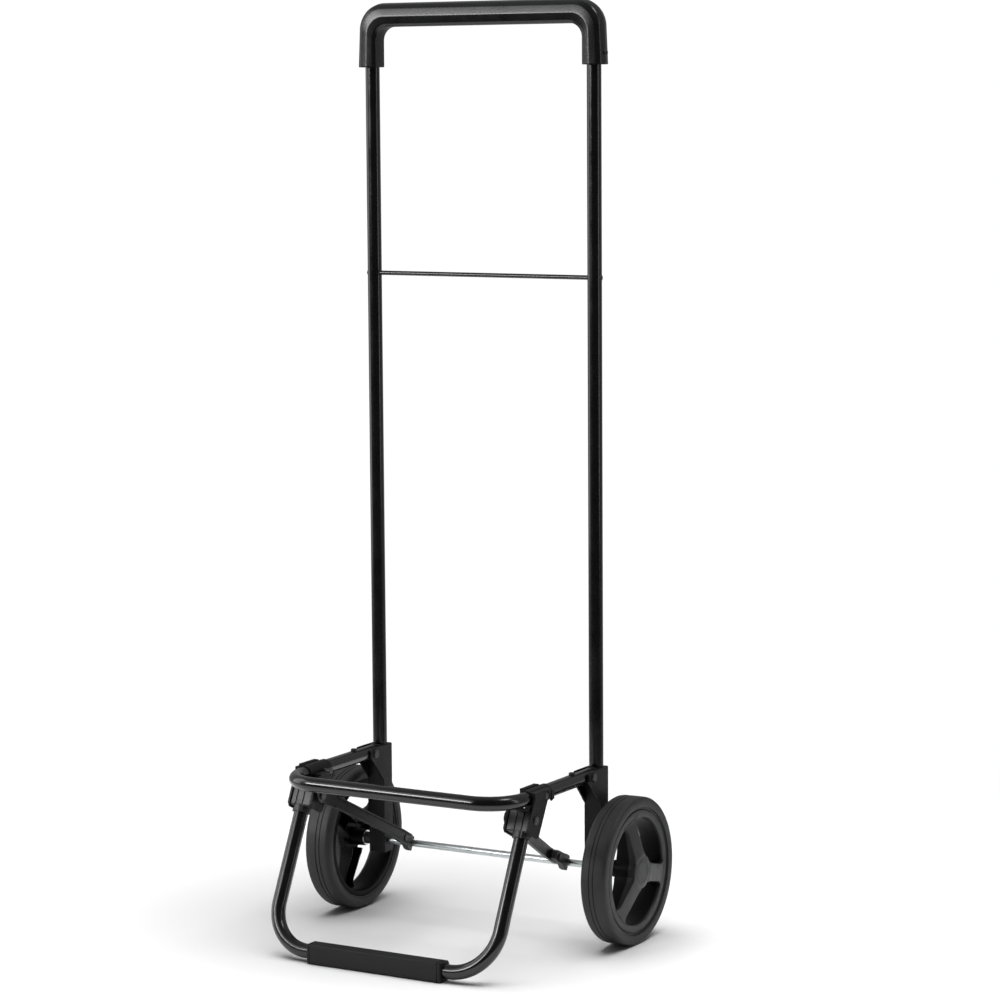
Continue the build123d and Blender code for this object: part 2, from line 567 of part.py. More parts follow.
def spoke(angle):
    """One channel-shaped spoke: a sloping outer face on two side walls, open towards the inside."""
    face_line = [(RIM_OUTER_X, RIM_R - 2), (RIM_OUTER_X + DISH_RIM, BARREL_R - 2),
                 (RIM_OUTER_X + DISH_HUB, HUB_PLATE_R), (RIM_OUTER_X + DISH_HUB, 0)]
    back_line = [(x - SPOKE_T, y) for x, y in face_line[::-1]]
    plate = extrude(make_face(Polyline(*face_line, *back_line, close=True)), SPOKE_W / 2, both=True)
    wall_line = [(RIM_OUTER_X - SPOKE_DEPTH_HUB, 0), (RIM_OUTER_X - SPOKE_DEPTH_HUB, HUB_PLATE_R),
                 (RIM_OUTER_X - SPOKE_DEPTH_RIM, BARREL_R + 1),
                 (RIM_OUTER_X - 1, BARREL_R + 1), (RIM_OUTER_X + DISH_RIM - 1, BARREL_R - 2),
                 (RIM_OUTER_X + DISH_HUB - 1, HUB_PLATE_R), (RIM_OUTER_X + DISH_HUB - 1, 0)]
    wall = extrude(make_face(Polyline(*wall_line, close=True)), SPOKE_WALL / 2, both=True)
    arm = plate
    for edge in (1, -1):
        arm += Pos(0, 0, edge * (SPOKE_W - SPOKE_WALL) / 2) * wall
    return Pos(0, AXLE_Y, AXLE_Z) * Rot(angle, 0, 0) * arm


def wheel_rim(side, first_angle):
    x0 = TYRE_INNER_X + 1.6
    x1 = TYRE_OUTER_X - 1.6
    ring = revolve_about_axle([(x0, RIM_R), (x0, RIM_R - 3.0), (x0 + 3, BARREL_R + 2.0),
                               (RIM_OUTER_X - 4.0, BARREL_R), (RIM_OUTER_X - 0.6, BARREL_R + 0.6),
                               (RIM_OUTER_X, BARREL_R + 2), (RIM_OUTER_X, RIM_R - 1.6), (x1, RIM_R)])
    hub_face = RIM_OUTER_X + DISH_HUB
    hub = rod_x(HUB_IN_X, hub_face, AXLE_Y, AXLE_Z, HUB_R)
    plate = rod_x(hub_face - HUB_PLATE_T, hub_face, AXLE_Y, AXLE_Z, HUB_PLATE_R)
    wheel = ring + hub + plate
    for i in range(SPOKE_COUNT):
        wheel += spoke(first_angle + i * 360 / SPOKE_COUNT)
    wheel -= rod_x(HUB_IN_X - 5, hub_face + 5, AXLE_Y, AXLE_Z, AXLE_R + FIT)
    wheel -= rod_x(POCKET_FLOOR_X, hub_face + 5, AXLE_Y, AXLE_Z, HUB_POCKET_R)
    return mirror_side(wheel, side)


def hub_cap(side):
    hub_face = RIM_OUTER_X + DISH_HUB
    disc = rod_x(hub_face - 1.8, hub_face + 0.3, AXLE_Y, AXLE_Z, HUB_POCKET_R)
    disc = fillet(disc.edges().filter_by(GeomType.CIRCLE).sort_by(Axis.X)[-1], 0.3)
    return mirror_side(disc, side)


# --- build and write ---------------------------------------------------------------------------
def joined(shape):
    """One shape from a single solid or a list of separate ones."""
    if isinstance(shape, list):
        return Compound(children=[Compound(s.solids()) for s in shape])
    return shape


def build():
    parts = {
        "handle_grip": handle_grip(),
        "handle_screws": handle_screws(),
        "cross_rod": cross_rod(),
        "leg_screws": leg_screws(),
        "platform_hinge_pins": platform_hinge_pins(),
        "axle": axle(),
        "axle_washers": axle_washers(),
        "axle_push_nuts": axle_push_nuts(),
        "platform_tube": platform_tube(),
        "platform_buffers": platform_buffers(),
        "bracket_rivets": bracket_rivets(),
        "bracket_pins": bracket_pins(),
        "foot_loop_tube": foot_loop_tube(),
        "foot_sleeve": foot_sleeve(),
    }
    spoke_start = {"left": LEFT_SPOKE_ANGLE, "right": RIGHT_SPOKE_ANGLE}
    for name, side in SIDES:
        parts["upright_tube_" + name] = upright_tube(side)
        parts["leg_box_" + name] = leg_box(side)
        parts["axle_spacer_" + name] = axle_spacer(side)
        parts["front_bracket_" + name] = front_bracket(side)
        parts["foot_knuckle_" + name] = foot_knuckle(side)
        parts["strut_" + name] = strut(side)
        parts["axle_hook_" + name] = axle_hook(side)
        parts["hook_rivet_" + name] = hook_rivet(side)
        parts["tyre_" + name] = tyre(side)
        parts["wheel_rim_" + name] = wheel_rim(side, spoke_start[name])
        parts["hub_cap_" + name] = hub_cap(side)
    return parts


os.makedirs("parts", exist_ok=True)
for node, shape in build().items():
    export_step(joined(shape), "parts/" + node + ".step")
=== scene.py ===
from math import atan2, cos, pi, radians, sin, tan

import bmesh
import bpy
from mathutils import Matrix, Vector


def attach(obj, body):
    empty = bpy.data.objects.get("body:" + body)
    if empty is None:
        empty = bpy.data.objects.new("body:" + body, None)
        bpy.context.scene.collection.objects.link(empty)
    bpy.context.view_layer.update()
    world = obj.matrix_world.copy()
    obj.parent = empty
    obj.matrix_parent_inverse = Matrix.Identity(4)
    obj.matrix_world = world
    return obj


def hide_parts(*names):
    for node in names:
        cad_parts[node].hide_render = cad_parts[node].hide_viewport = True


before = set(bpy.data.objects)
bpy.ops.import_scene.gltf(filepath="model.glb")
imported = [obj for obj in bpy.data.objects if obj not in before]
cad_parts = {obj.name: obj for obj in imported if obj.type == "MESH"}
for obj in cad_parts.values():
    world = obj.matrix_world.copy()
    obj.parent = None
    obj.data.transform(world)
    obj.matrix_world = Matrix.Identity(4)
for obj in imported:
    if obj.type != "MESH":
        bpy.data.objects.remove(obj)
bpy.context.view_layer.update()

# --- Camera ------------------------------------------------------------------------------------
# A long lens at about chest height, three metres and a half away, to the trolley's right front.
# It looks a little down, and leans by a third of a degree.
scene = bpy.context.scene
CAMERA_AT = Vector((1.83619, -3.05966, 0.92783))
CAMERA_TURN = radians(30.038)
CAMERA_DIP = radians(6.926)
CAMERA_LEAN = radians(-0.383)
LENS_MM = 117.67
SENSOR_MM = 36.0

look = Vector((-sin(CAMERA_TURN) * cos(CAMERA_DIP), cos(CAMERA_TURN) * cos(CAMERA_DIP), -sin(CAMERA_DIP)))
level = Vector((cos(CAMERA_TURN), sin(CAMERA_TURN), 0.0))
rise = level.cross(look)
side_axis = cos(CAMERA_LEAN) * level + sin(CAMERA_LEAN) * rise
up_axis = -sin(CAMERA_LEAN) * level + cos(CAMERA_LEAN) * rise
camera = bpy.data.objects.new("camera", bpy.data.cameras.new("camera"))
camera.data.lens = LENS_MM
camera.data.sensor_width = SENSOR_MM
camera.data.clip_end = 50.0
facing = Matrix((side_axis, up_axis, -look)).transposed().to_4x4()
camera.matrix_world = Matrix.Translation(CAMERA_AT) @ facing
scene.collection.objects.link(camera)
scene.camera = camera
scene.view_settings.view_transform = "Standard"


# --- Floor -------------------------------------------------------------------------------------
# A sheet of matt pale studio paper under the trolley. Its colour greys a little under the frame, a painted
# shadow, and it runs out into the white of the studio, so no horizon shows.
def srgb(code, alpha=1.0):
    """Linear colour from an sRGB hex code."""
    parts = [int(code[i:i + 2], 16) / 255 for i in (1, 3, 5)]
    linear = [p / 12.92 if p <= 0.04045 else ((p + 0.055) / 1.055) ** 2.4 for p in parts]
    return (*linear, alpha)


def add(tree, kind, values=(), links=(), **settings):
    """Adds one shader node with its own settings, the values of its inputs and what feeds them."""
    made = tree.nodes.new("ShaderNode" + kind)
    for key, value in settings.items():
        setattr(made, key, value)
    for key, value in dict(values).items():
        made.inputs[key].default_value = value
    for key, source in dict(links).items():
        tree.links.new(source, made.inputs[key])
    return made


def new_material(name):
    """A material with its node tree, its Principled shader and its output node."""
    material = bpy.data.materials.new(name)
    material.use_nodes = True
    tree = material.node_tree
    return material, tree, tree.nodes["Principled BSDF"], tree.nodes["Material Output"]


def mesh_object(name, points, faces):
    """An object from points in metres and faces."""
    mesh = bpy.data.meshes.new(name)
    mesh.from_pydata([tuple(p) for p in points], [], faces)
    mesh.validate()
    made = bpy.data.objects.new(name, mesh)
    scene.collection.objects.link(made)
    return made


FLOOR_R = 2.4
FLOOR_Z = -0.0004
FLOOR_RINGS = 24
FLOOR_SECTORS = 96
FADE_FROM = 0.55
FADE_TO = 1.25
floor_points = [(0.0, 0.0, FLOOR_Z)]
for i in range(1, FLOOR_RINGS + 1):
    for j in range(FLOOR_SECTORS):
        turn = 2 * pi * j / FLOOR_SECTORS
        reach = FLOOR_R * i / FLOOR_RINGS
        floor_points.append((reach * cos(turn), reach * sin(turn), FLOOR_Z))
floor_faces = [(0, 1 + j, 1 + (j + 1) % FLOOR_SECTORS) for j in range(FLOOR_SECTORS)]
for i in range(FLOOR_RINGS - 1):
    for j in range(FLOOR_SECTORS):
        a, b = 1 + i * FLOOR_SECTORS, 1 + (i + 1) * FLOOR_SECTORS
        k = (j + 1) % FLOOR_SECTORS
        floor_faces.append((a + j, b + j, b + k, a + k))
floor = mesh_object("studio_floor", floor_points, floor_faces)
paper, tree, shader, output = new_material("studio_paper_matt")
place = add(tree, "TexCoord")
shift = add(tree, "Mapping", {"Location": (0.13, -0.07, 0.0), "Scale": (1.0, 1.0, 0.0)},
            {"Vector": place.outputs["Object"]})
reach = add(tree, "VectorMath", links={0: shift.outputs[0]}, operation="LENGTH")
# Painted shadow: the paper's colour greys towards a spot under the trolley, for the shadow the frame casts.
painted_shadow_falloff = add(tree, "MapRange", {"From Min": 0.05, "From Max": 0.46}, {"Value": reach.outputs["Value"]},
           interpolation_type="SMOOTHSTEP")
grey = add(tree, "ValToRGB", links={"Fac": painted_shadow_falloff.outputs[0]})
grey.color_ramp.elements[0].color = srgb("#d4d4d4")
grey.color_ramp.elements[1].color = srgb("#ffffff")
tree.links.new(grey.outputs["Color"], shader.inputs["Base Color"])
shader.inputs["Roughness"].default_value = 0.9
shader.inputs["Specular IOR Level"].default_value = 0.1
edge = add(tree, "MapRange", {"From Min": FADE_FROM, "From Max": FADE_TO}, {"Value": reach.outputs["Value"]},
           interpolation_type="SMOOTHSTEP")
clear = add(tree, "BsdfTransparent")
fade = add(tree, "MixShader", links={0: edge.outputs[0], 1: shader.outputs[0], 2: clear.outputs[0]})
tree.links.new(fade.outputs[0], output.inputs["Surface"])
floor.data.materials.append(paper)

# --- Studio light ------------------------------------------------------------------------------
# White paper behind and beside the trolley, a dark room on the camera's side, and large soft boxes
# above. The gloss tubes so get light lines along their edges and stay black in between.
studio = bpy.data.worlds.new("studio")
studio.use_nodes = True
scene.world = studio
tree = studio.node_tree
tree.nodes.clear()
way = add(tree, "TexCoord")
toward_room = add(tree, "VectorMath", {1: (-look.x, -look.y, 0.0)}, {0: way.outputs["Generated"]},
                  operation="DOT_PRODUCT")
bright = add(tree, "MapRange", {"From Min": -0.15, "From Max": 0.55, "To Min": 0.30, "To Max": 0.05},
             {"Value": toward_room.outputs["Value"]}, interpolation_type="SMOOTHSTEP")
seen = add(tree, "LightPath")
white = add(tree, "Background", {"Color": srgb("#ffffff"), "Strength": 1.02})
room = add(tree, "Background", {"Color": srgb("#ffffff")}, {"Strength": bright.outputs[0]})
both = add(tree, "MixShader",
           links={0: seen.outputs["Is Camera Ray"], 1: room.outputs[0], 2: white.outputs[0]})
add(tree, "OutputWorld", links={"Surface": both.outputs[0]})


def soft_box(name, at, aim, wide, high, power, floods=False):
    """A rectangular light facing a point. It either floods matt surfaces or shows in glossy ones."""
    light = bpy.data.lights.new(name, "AREA")
    light.shape = "RECTANGLE"
    light.size = wide
    light.size_y = high
    light.energy = power
    made = bpy.data.objects.new(name, light)
    made.location = at
    made.rotation_euler = (Vector(aim) - Vector(at)).to_track_quat("-Z", "Y").to_euler()
    made.visible_glossy = not floods
    made.visible_diffuse = floods
    scene.collection.objects.link(made)


soft_box("ceiling_box", (0.0, -0.1, 2.9), (0.0, -0.05, 0.0), 3.4, 3.0, 116.0, floods=True)
soft_box("corner_box", (1.25, 0.15, 2.7), (0.1, 0.05, 0.9), 0.7, 0.7, 12.0)
soft_box("front_strip", (-1.65, -2.5, 1.40), (0.0, -0.1, 0.2), 1.5, 0.6, 42.0)
soft_box("front_panel", (-1.9, -2.4, 2.1), (0.0, 0.0, 0.4), 2.2, 1.8, 15.0)
soft_box("left_panel", (-2.5, -0.5, 1.2), (0.0, 0.0, 0.6), 1.4, 2.4, 16.0)
soft_box("right_strip", (2.5, 0.3, 1.2), (0.0, 0.0, 0.6), 0.35, 2.2, 6.0)

# --- Tubes -------------------------------------------------------------------------------------
# Uprights, platform and foot loop are 16 mm steel tube, cut, bent and drilled, and the rod between
# the uprights is 5 mm wire. All are powder coated gloss black, which gives a deep black with a hard
# gloss, a faint orange peel and, where bags rub, patches that are a little duller.
MM = 0.001


def mottled(name, dark, light, patch_mm, dull, grain_mm, grain_height_mm):
    """A material whose colour and gloss wander over patches, with a fine grain in relief."""
    material, tree, shader, _ = new_material(name)
    place = add(tree, "TexCoord").outputs["Object"]
    cloud = add(tree, "TexNoise", {"Scale": 1 / (patch_mm * MM), "Detail": 5.0, "Roughness": 0.6},
                {"Vector": place})
    tint = add(tree, "ValToRGB", links={"Fac": cloud.outputs["Fac"]})
    for stop, at, code in zip(tint.color_ramp.elements, (0.3, 0.7), (dark, light)):
        stop.position = at
        stop.color = srgb(code)
    tree.links.new(tint.outputs["Color"], shader.inputs["Base Color"])
    rub = add(tree, "MapRange", {"From Min": 0.3, "From Max": 0.7, "To Min": dull[0], "To Max": dull[1]},
              {"Value": cloud.outputs["Fac"]})
    tree.links.new(rub.outputs[0], shader.inputs["Roughness"])
    grain = add(tree, "TexNoise", {"Scale": 1 / (grain_mm * MM), "Detail": 2.0}, {"Vector": place})
    relief = add(tree, "Bump", {"Strength": 0.5, "Distance": grain_height_mm * MM},
                 {"Height": grain.outputs["Fac"]})
    tree.links.new(relief.outputs[0], shader.inputs["Normal"])
    return material, shader


def finish(node, material):
    """Gives a part from the frame its material."""
    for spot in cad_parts[node].material_slots:
        spot.material = material


powder, shader = mottled("powder_coated_steel_gloss_black", "#0b0b0c", "#121213", 28.0, (0.15, 0.26),
                         1.4, 0.012)
shader.inputs["IOR"].default_value = 1.5
shader.inputs["Coat Weight"].default_value = 0.3
shader.inputs["Coat Roughness"].default_value = 0.07
for name in ("upright_tube_left", "upright_tube_right", "platform_tube", "foot_loop_tube", "cross_rod"):
    finish(name, powder)

# --- Handle ------------------------------------------------------------------------------------
# A hollow moulding of semi-gloss black plastic, pressed over the ends of both uprights. Its bar has
# a rounded crown, a bevel on either side and flat flanks that draw in a little towards the hand.
UPRIGHT_X = 141.5
UPRIGHT_Y = 80.6


def rounded(corners, steps=6):
    """Closed outline from corners given as (across, up, radius)."""
    outline = []
    for i, (x, y, radius) in enumerate(corners):
        here = Vector((x, y))
        back = Vector(corners[i - 1][:2]) - here
        on = Vector(corners[(i + 1) % len(corners)][:2]) - here
        reach = min(radius / tan(back.angle(on) / 2), 0.49 * back.length, 0.49 * on.length)
        start = here + back.normalized() * reach
        end = here + on.normalized() * reach
        for k in range(steps + 1):
            t = k / steps
            outline.append((1 - t) ** 2 * start + 2 * t * (1 - t) * here + t * t * end)
    return outline


def skin(name, rings, loop=False, crease=30.0):
    """A smooth surface over rings of equally many points, in mm. A loop joins the last to the first."""
    count = len(rings[0])
    points = [Vector(p) * MM for ring in rings for p in ring]
    faces = []
    for i in range(len(rings) if loop else len(rings) - 1):
        a, b = i * count, (i + 1) % len(rings) * count
        for j in range(count):
            k = (j + 1) % count
            faces.append((a + j, a + k, b + k, b + j))
    made = mesh_object(name, points, faces)
    shape = bmesh.new()
    shape.from_mesh(made.data)
    bmesh.ops.recalc_face_normals(shape, faces=shape.faces)
    shape.to_mesh(made.data)
    shape.free()
    made.data.shade_smooth()
    made.data.set_sharp_from_angle(angle=radians(crease))
    return made


def fit_on(piece, material, body, slot_name, *nodes):
    """The piece gets its material, moves with its body and stands for those parts of the frame."""
    piece.data.materials.clear()
    piece.data.materials.append(material)
    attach(piece, body)
    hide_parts(*nodes)


GRIP_SECTION = rounded([(0, 13.5, 9), (8.5, 11.5, 6), (12.2, 7, 5), (13.5, -2, 6), (12, -10, 4),
                        (9, -13.2, 2.5), (0, -13.5, 8), (-9, -13.2, 2.5), (-12, -10, 4), (-13.5, -2, 6),
                        (-12.2, 7, 5), (-8.5, 11.5, 6)])
GRIP_T = 27.0
GRIP_TOP = 1040.0
SLEEVE_Z = 968.5
SLEEVE_IN_X = 131.0
SLEEVE_OUT_X = 156.6
SLEEVE_DRAFT = 2.0
INNER_BEND_R = 15.5
OUTER_BEND_R = 30.0
BEND_STEPS = 16
GRIP_LIP = 0.8
LIP_TURN = 0.24
SOCKET_R = 8.3
SOCKET_SHOWN = 9.0
inner_bend = Vector((SLEEVE_IN_X - INNER_BEND_R, GRIP_TOP - GRIP_T - INNER_BEND_R))
outer_bend = Vector((SLEEVE_OUT_X - SLEEVE_DRAFT - OUTER_BEND_R, GRIP_TOP - OUTER_BEND_R))
ends = []
for t in (0.03, 0.25, 0.5, 0.75):
    ends.append(((SLEEVE_IN_X, SLEEVE_Z + (inner_bend.y - SLEEVE_Z) * t),
                 (SLEEVE_OUT_X - SLEEVE_DRAFT * t, SLEEVE_Z + (outer_bend.y - SLEEVE_Z) * t)))
for i in range(BEND_STEPS + 1):
    turn = pi / 2 * i / BEND_STEPS
    out = Vector((cos(turn), sin(turn)))
    ends.append((tuple(inner_bend + INNER_BEND_R * out), tuple(outer_bend + OUTER_BEND_R * out)))
for t in (0.8, 0.6, 0.4, 0.2):
    ends.append(((inner_bend.x * t, GRIP_TOP - GRIP_T), (outer_bend.x * t, GRIP_TOP)))
other_half = [((-a, b), (-c, d)) for (a, b), (c, d) in ends[::-1]]
ends += [((0.0, GRIP_TOP - GRIP_T), (0.0, GRIP_TOP))] + other_half


def grip_ring(inner, outer, shrink=0.0):
    """The handle's section laid between a point of its inner line and one of its outer line."""
    lay = 1 - 2 * shrink / GRIP_T
    inner, outer = Vector(inner), Vector(outer)
    ring = []
    for across, out in GRIP_SECTION:
        at = inner + (outer - inner) * (out * lay / GRIP_T + 0.5)
        ring.append((at.x, UPRIGHT_Y + across * lay, at.y))
    return ring


def grip_mouth(side):
    """Rings from the sleeve's flat end to the bore round the upright, outermost first."""
    mouth = []
    for rise, shrink in ((GRIP_LIP, 0.0), (LIP_TURN, LIP_TURN), (0.0, GRIP_LIP)):
        at_z = SLEEVE_Z + rise
        mouth.append(grip_ring((side * SLEEVE_IN_X, at_z), (side * SLEEVE_OUT_X, at_z), shrink))
    for rise in (0.0, SOCKET_SHOWN):
        bore = []
        for x, y, _ in mouth[0]:
            turn = atan2(y - UPRIGHT_Y, x - side * UPRIGHT_X)
            bore.append((side * UPRIGHT_X + SOCKET_R * cos(turn), UPRIGHT_Y + SOCKET_R * sin(turn),
                         SLEEVE_Z + rise))
        mouth.append(bore)
    return mouth


grip_rings = grip_mouth(1)[::-1] + [grip_ring(a, b) for a, b in ends] + grip_mouth(-1)
grip = skin("handle_moulding", grip_rings, crease=35.0)
grip_plastic, shader = mottled("moulded_plastic_semi_gloss_black", "#131414", "#181919", 22.0,
                               (0.20, 0.28), 0.9, 0.008)
shader.inputs["IOR"].default_value = 1.5
fit_on(grip, grip_plastic, "root", "handle_moulding", "handle_grip")

# --- Moulded legs, brackets, knuckles and hooks ------------------------------------------------
# Satin black glass-filled nylon, injection moulded. Real mouldings have edges rounded by about half
# a millimetre, which catch a thin light line, and a fine spark grain that keeps their flats dull. The
# knuckles and hooks get a lighter grey copy of the nylon, painted light for the light they catch.


def softened(node, width_mm, material, body, slot_name):
    """A part of the frame with its sharp edges rounded."""
    shape = bmesh.new()
    shape.from_mesh(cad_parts[node].data)
    bmesh.ops.remove_doubles(shape, verts=shape.verts, dist=0.01 * MM)
    bmesh.ops.dissolve_limit(shape, angle_limit=radians(0.8), verts=shape.verts, edges=shape.edges)
    points = [v.co.copy() for v in shape.verts]
    shape.verts.index_update()
    faces = [[v.index for v in f.verts] for f in shape.faces]
    shape.free()
    made = mesh_object(node + "_finished", points, faces)
    made.data.shade_smooth()
    edges = made.modifiers.new("round_edges", "BEVEL")
    edges.width = width_mm * MM
    edges.segments = 3
    edges.limit_method = "ANGLE"
    edges.angle_limit = radians(32)
    edges.harden_normals = True
    fit_on(made, material, body, slot_name, node)


nylon, shader = mottled("glass_filled_nylon_satin_black", "#0e0e0f", "#141415", 14.0, (0.40, 0.52),
                        0.5, 0.02)
shader.inputs["IOR"].default_value = 1.53
shader.inputs["Specular IOR Level"].default_value = 0.2
# A lighter grey copy of the same nylon: painted light on the knuckles and hooks.
lit_nylon_copy, shader = mottled("glass_filled_nylon_painted_light_black", "#1e1e1f", "#29292a", 9.0, (0.36, 0.48),
                             0.5, 0.02)
shader.inputs["IOR"].default_value = 1.53
NYLON_EDGE = 0.5
BRACKET_EDGE = 0.4
for name in ("left", "right"):
    softened("leg_box_" + name, NYLON_EDGE, nylon, "root", "black_nylon")
    softened("front_bracket_" + name, BRACKET_EDGE, nylon, "platform", "black_nylon")
    softened("foot_knuckle_" + name, NYLON_EDGE, lit_nylon_copy, "foot", "black_nylon")
    softened("axle_hook_" + name, NYLON_EDGE, lit_nylon_copy, "strut_" + name, "black_nylon")

# --- Foot sleeve -------------------------------------------------------------------------------
# A block of dull black nylon pushed on the foot loop's lower bar. It stands flat on the floor, has a
# crisp front edge, rounder edges elsewhere and a shallow groove near either end.
FOOT_Y = -154.0
FOOT_Z = 11.0
BLOCK_FRONT = -165.0
BLOCK_BACK = -143.8
BLOCK_TOP = 22.0
BLOCK_END = 84.5
BORE_SHOWN = 6.5
SLEEVE_SECTION = rounded([(BLOCK_FRONT, BLOCK_TOP, 1.4), (BLOCK_FRONT, 0.0, 3.0), (BLOCK_BACK, 0.0, 6.0),
                          (BLOCK_BACK, BLOCK_TOP, 7.0)])
SLEEVE_STEPS = [(BLOCK_END, 0.9), (84.2, 0.25), (83.6, 0.0), (81.6, 0.0), (81.3, 0.6), (80.3, 0.6),
                (80.0, 0.0), (40.0, 0.0)]
block_y = (BLOCK_FRONT + BLOCK_BACK) / 2
block_z = BLOCK_TOP / 2


def sleeve_ring(x, shrink):
    """The sleeve's section at x, drawn in by shrink."""
    lay_y = 1 - shrink / (BLOCK_BACK - block_y)
    lay_z = 1 - shrink / block_z
    return [(x, block_y + (y - block_y) * lay_y, block_z + (z - block_z) * lay_z) for y, z in SLEEVE_SECTION]


def sleeve_bore(x):
    """A ring round the tube, with a point for each point of the section."""
    turns = [atan2(z - FOOT_Z, y - FOOT_Y) for y, z in SLEEVE_SECTION]
    return [(x, FOOT_Y + SOCKET_R * cos(t), FOOT_Z + SOCKET_R * sin(t)) for t in turns]


half = [sleeve_bore(BLOCK_END - BORE_SHOWN), sleeve_bore(BLOCK_END)]
half += [sleeve_ring(x, shrink) for x, shrink in SLEEVE_STEPS]
other_half = [[(-x, y, z) for x, y, z in ring] for ring in half[::-1]]
sleeve = skin("foot_sleeve_block", half + other_half, crease=40.0)
sleeve_nylon, shader = mottled("nylon_dull_black", "#18181a", "#202021", 17.0, (0.50, 0.62), 0.6, 0.03)
shader.inputs["IOR"].default_value = 1.53
shader.inputs["Specular IOR Level"].default_value = 0.25
fit_on(sleeve, sleeve_nylon, "foot", "black_nylon", "foot_sleeve")

# --- Struts ------------------------------------------------------------------------------------
# Pressed steel strip with its two long edges turned in a little, powder coated like the tubes.
STRIP_EDGE = 0.3
strut_coat, shader = mottled("powder_coated_strip_satin_black", "#0d0d0e", "#141415", 18.0, (0.34, 0.46),
                             1.2, 0.012)
shader.inputs["IOR"].default_value = 1.5
for name in ("left", "right"):
    softened("strut_" + name, STRIP_EDGE, strut_coat, "strut_" + name, "black_powder_coat")

# --- Tyres -------------------------------------------------------------------------------------
# Foam rubber rings moulded on the wheels: matt dark grey-black, round shoulders, a step near the rim
# and two fine grooves in the tread.
AXLE_Y = 82.5
AXLE_Z = 82.5
TYRE_STEPS = 192
TYRE_SECTION = [(190.0, 68.7), (191.6, 68.9), (191.7, 71.0), (192.0, 71.3), (193.9, 71.5), (194.25, 72.2),
                (194.3, 76.0), (194.3, 79.6), (194.0, 80.6), (193.2, 81.5), (192.0, 82.2), (190.4, 82.5),
                (186.0, 82.5), (180.6, 82.5), (180.3, 81.7), (179.4, 81.7), (179.1, 82.4), (175.6, 82.4),
                (175.3, 81.6), (174.4, 81.6), (174.1, 82.3), (168.4, 82.3), (166.4, 81.9), (164.7, 80.8),
                (163.4, 79.0), (162.8, 76.8), (162.7, 75.2), (162.75, 73.2), (163.1, 71.5), (164.1, 70.9),
                (163.9, 70.2), (164.0, 69.0), (165.0, 68.7)]


def turned(name, section, steps):
    """A body of revolution about the axle, from its section as (x, radius)."""
    rings = []
    for i in range(steps):
        turn = 2 * pi * i / steps
        rings.append([(x, AXLE_Y + r * cos(turn), AXLE_Z + r * sin(turn)) for x, r in section])
    return skin(name, rings, loop=True)


tyre_foam, shader = mottled("tyre_foam_rubber_matt_black", "#202021", "#282829", 9.0, (0.5, 0.62), 0.45, 0.03)
shader.inputs["IOR"].default_value = 1.5
for name, side in (("left", -1), ("right", 1)):
    tyre = turned("tyre_ring_" + name, [(side * x, r) for x, r in TYRE_SECTION], TYRE_STEPS)
    fit_on(tyre, tyre_foam, "wheel_" + name, "foam_tyre", "tyre_" + name)

# --- Wheels ------------------------------------------------------------------------------------
# Three-spoked discs moulded in dark grey polypropylene. The spokes are channels, open on the inner
# side. They slope out from the rim to a round hub plate, whose middle is a push-in cap. The barrel
# and the channels are painted near black and reflect less: painted shade in the wheel's hollows.
RIM_SECTION = [(190.2, 68.6), (192.0, 68.4), (192.5, 67.9), (192.6, 67.0), (192.6, 61.6), (192.3, 60.6),
               (191.4, 60.0), (189.0, 59.6), (176.0, 59.9), (168.0, 61.0), (165.2, 62.0), (164.5, 62.8),
               (164.4, 66.0), (165.0, 68.5)]
HUB_SECTION = [(163.1, 4.2), (163.1, 9.2), (163.5, 9.6), (182.0, 10.4), (182.0, 18.6), (197.0, 19.0),
               (198.0, 18.7), (198.5, 17.9), (198.6, 12.3), (198.35, 12.15), (198.35, 11.85), (198.6, 11.7),
               (198.6, 0.05), (192.3, 0.05), (192.3, 4.2)]
RIM_STEPS = 192
HUB_STEPS = 96
SPOKE_W = 20.0
SPOKE_PLATE_T = 3.0
SPOKE_WALL_T = 2.4
FLARE_R = 9.0
FLARE_END = 60.6
HUB_R = 19.0
SPOKE_STATIONS = (13.0, 16.0, 17.8, 19.0, 20.0, 22.0, 25.0, 30.0, 36.0, 43.0, 49.0, 52.0, 54.5, 56.5, 58.0,
                  59.0, 59.8, 60.3, FLARE_END)
HUB_FACE_X = 198.55
RIM_FACE_X = 192.75
WALL_END_HUB_X = 173.5
WALL_END_RIM_X = 180.0
HUB_FLARE = 1.6
HUB_FLARE_FROM = 25.0
HUB_FLARE_TO = 16.0
FACE_END_R = 61.0
WALL_LEVEL_R = 50.0
# The wheel's painted shade, on its barrel and channels, fades out between these two depths.
SHADE_FADE_FROM_X = 188.5
SHADE_FADE_TO_X = 191.5


def between(at, start, end, low, high):
    """Value running straight from low at start to high at end, held beyond them."""
    return low + (high - low) * min(max((at - start) / (end - start), 0.0), 1.0)


def spoke_ring(reach, angle, side):
    """The spoke's channel section at a distance from the axle."""
    face = between(reach, HUB_R, FACE_END_R, HUB_FACE_X, RIM_FACE_X)
    inner = between(reach, HUB_R, WALL_LEVEL_R, WALL_END_HUB_X, WALL_END_RIM_X)
    half = SPOKE_W / 2 + HUB_FLARE * between(reach, HUB_FLARE_FROM, HUB_FLARE_TO, 0.0, 1.0) ** 2
    into = max(reach - (FLARE_END - FLARE_R), 0.0)
    half += FLARE_R - (FLARE_R ** 2 - into ** 2) ** 0.5
    back = face - SPOKE_PLATE_T
    section = rounded([(inner, -half, 0.5), (face, -half, 1.1), (face, half, 1.1), (inner, half, 0.5),
                       (inner, half - SPOKE_WALL_T, 0.5), (back, half - SPOKE_WALL_T, 0.8),
                       (back, SPOKE_WALL_T - half, 0.8), (inner, SPOKE_WALL_T - half, 0.5)], steps=3)
    return [(side * x, AXLE_Y + reach * cos(angle) - across * sin(angle),
             AXLE_Z + reach * sin(angle) + across * cos(angle)) for x, across in section]


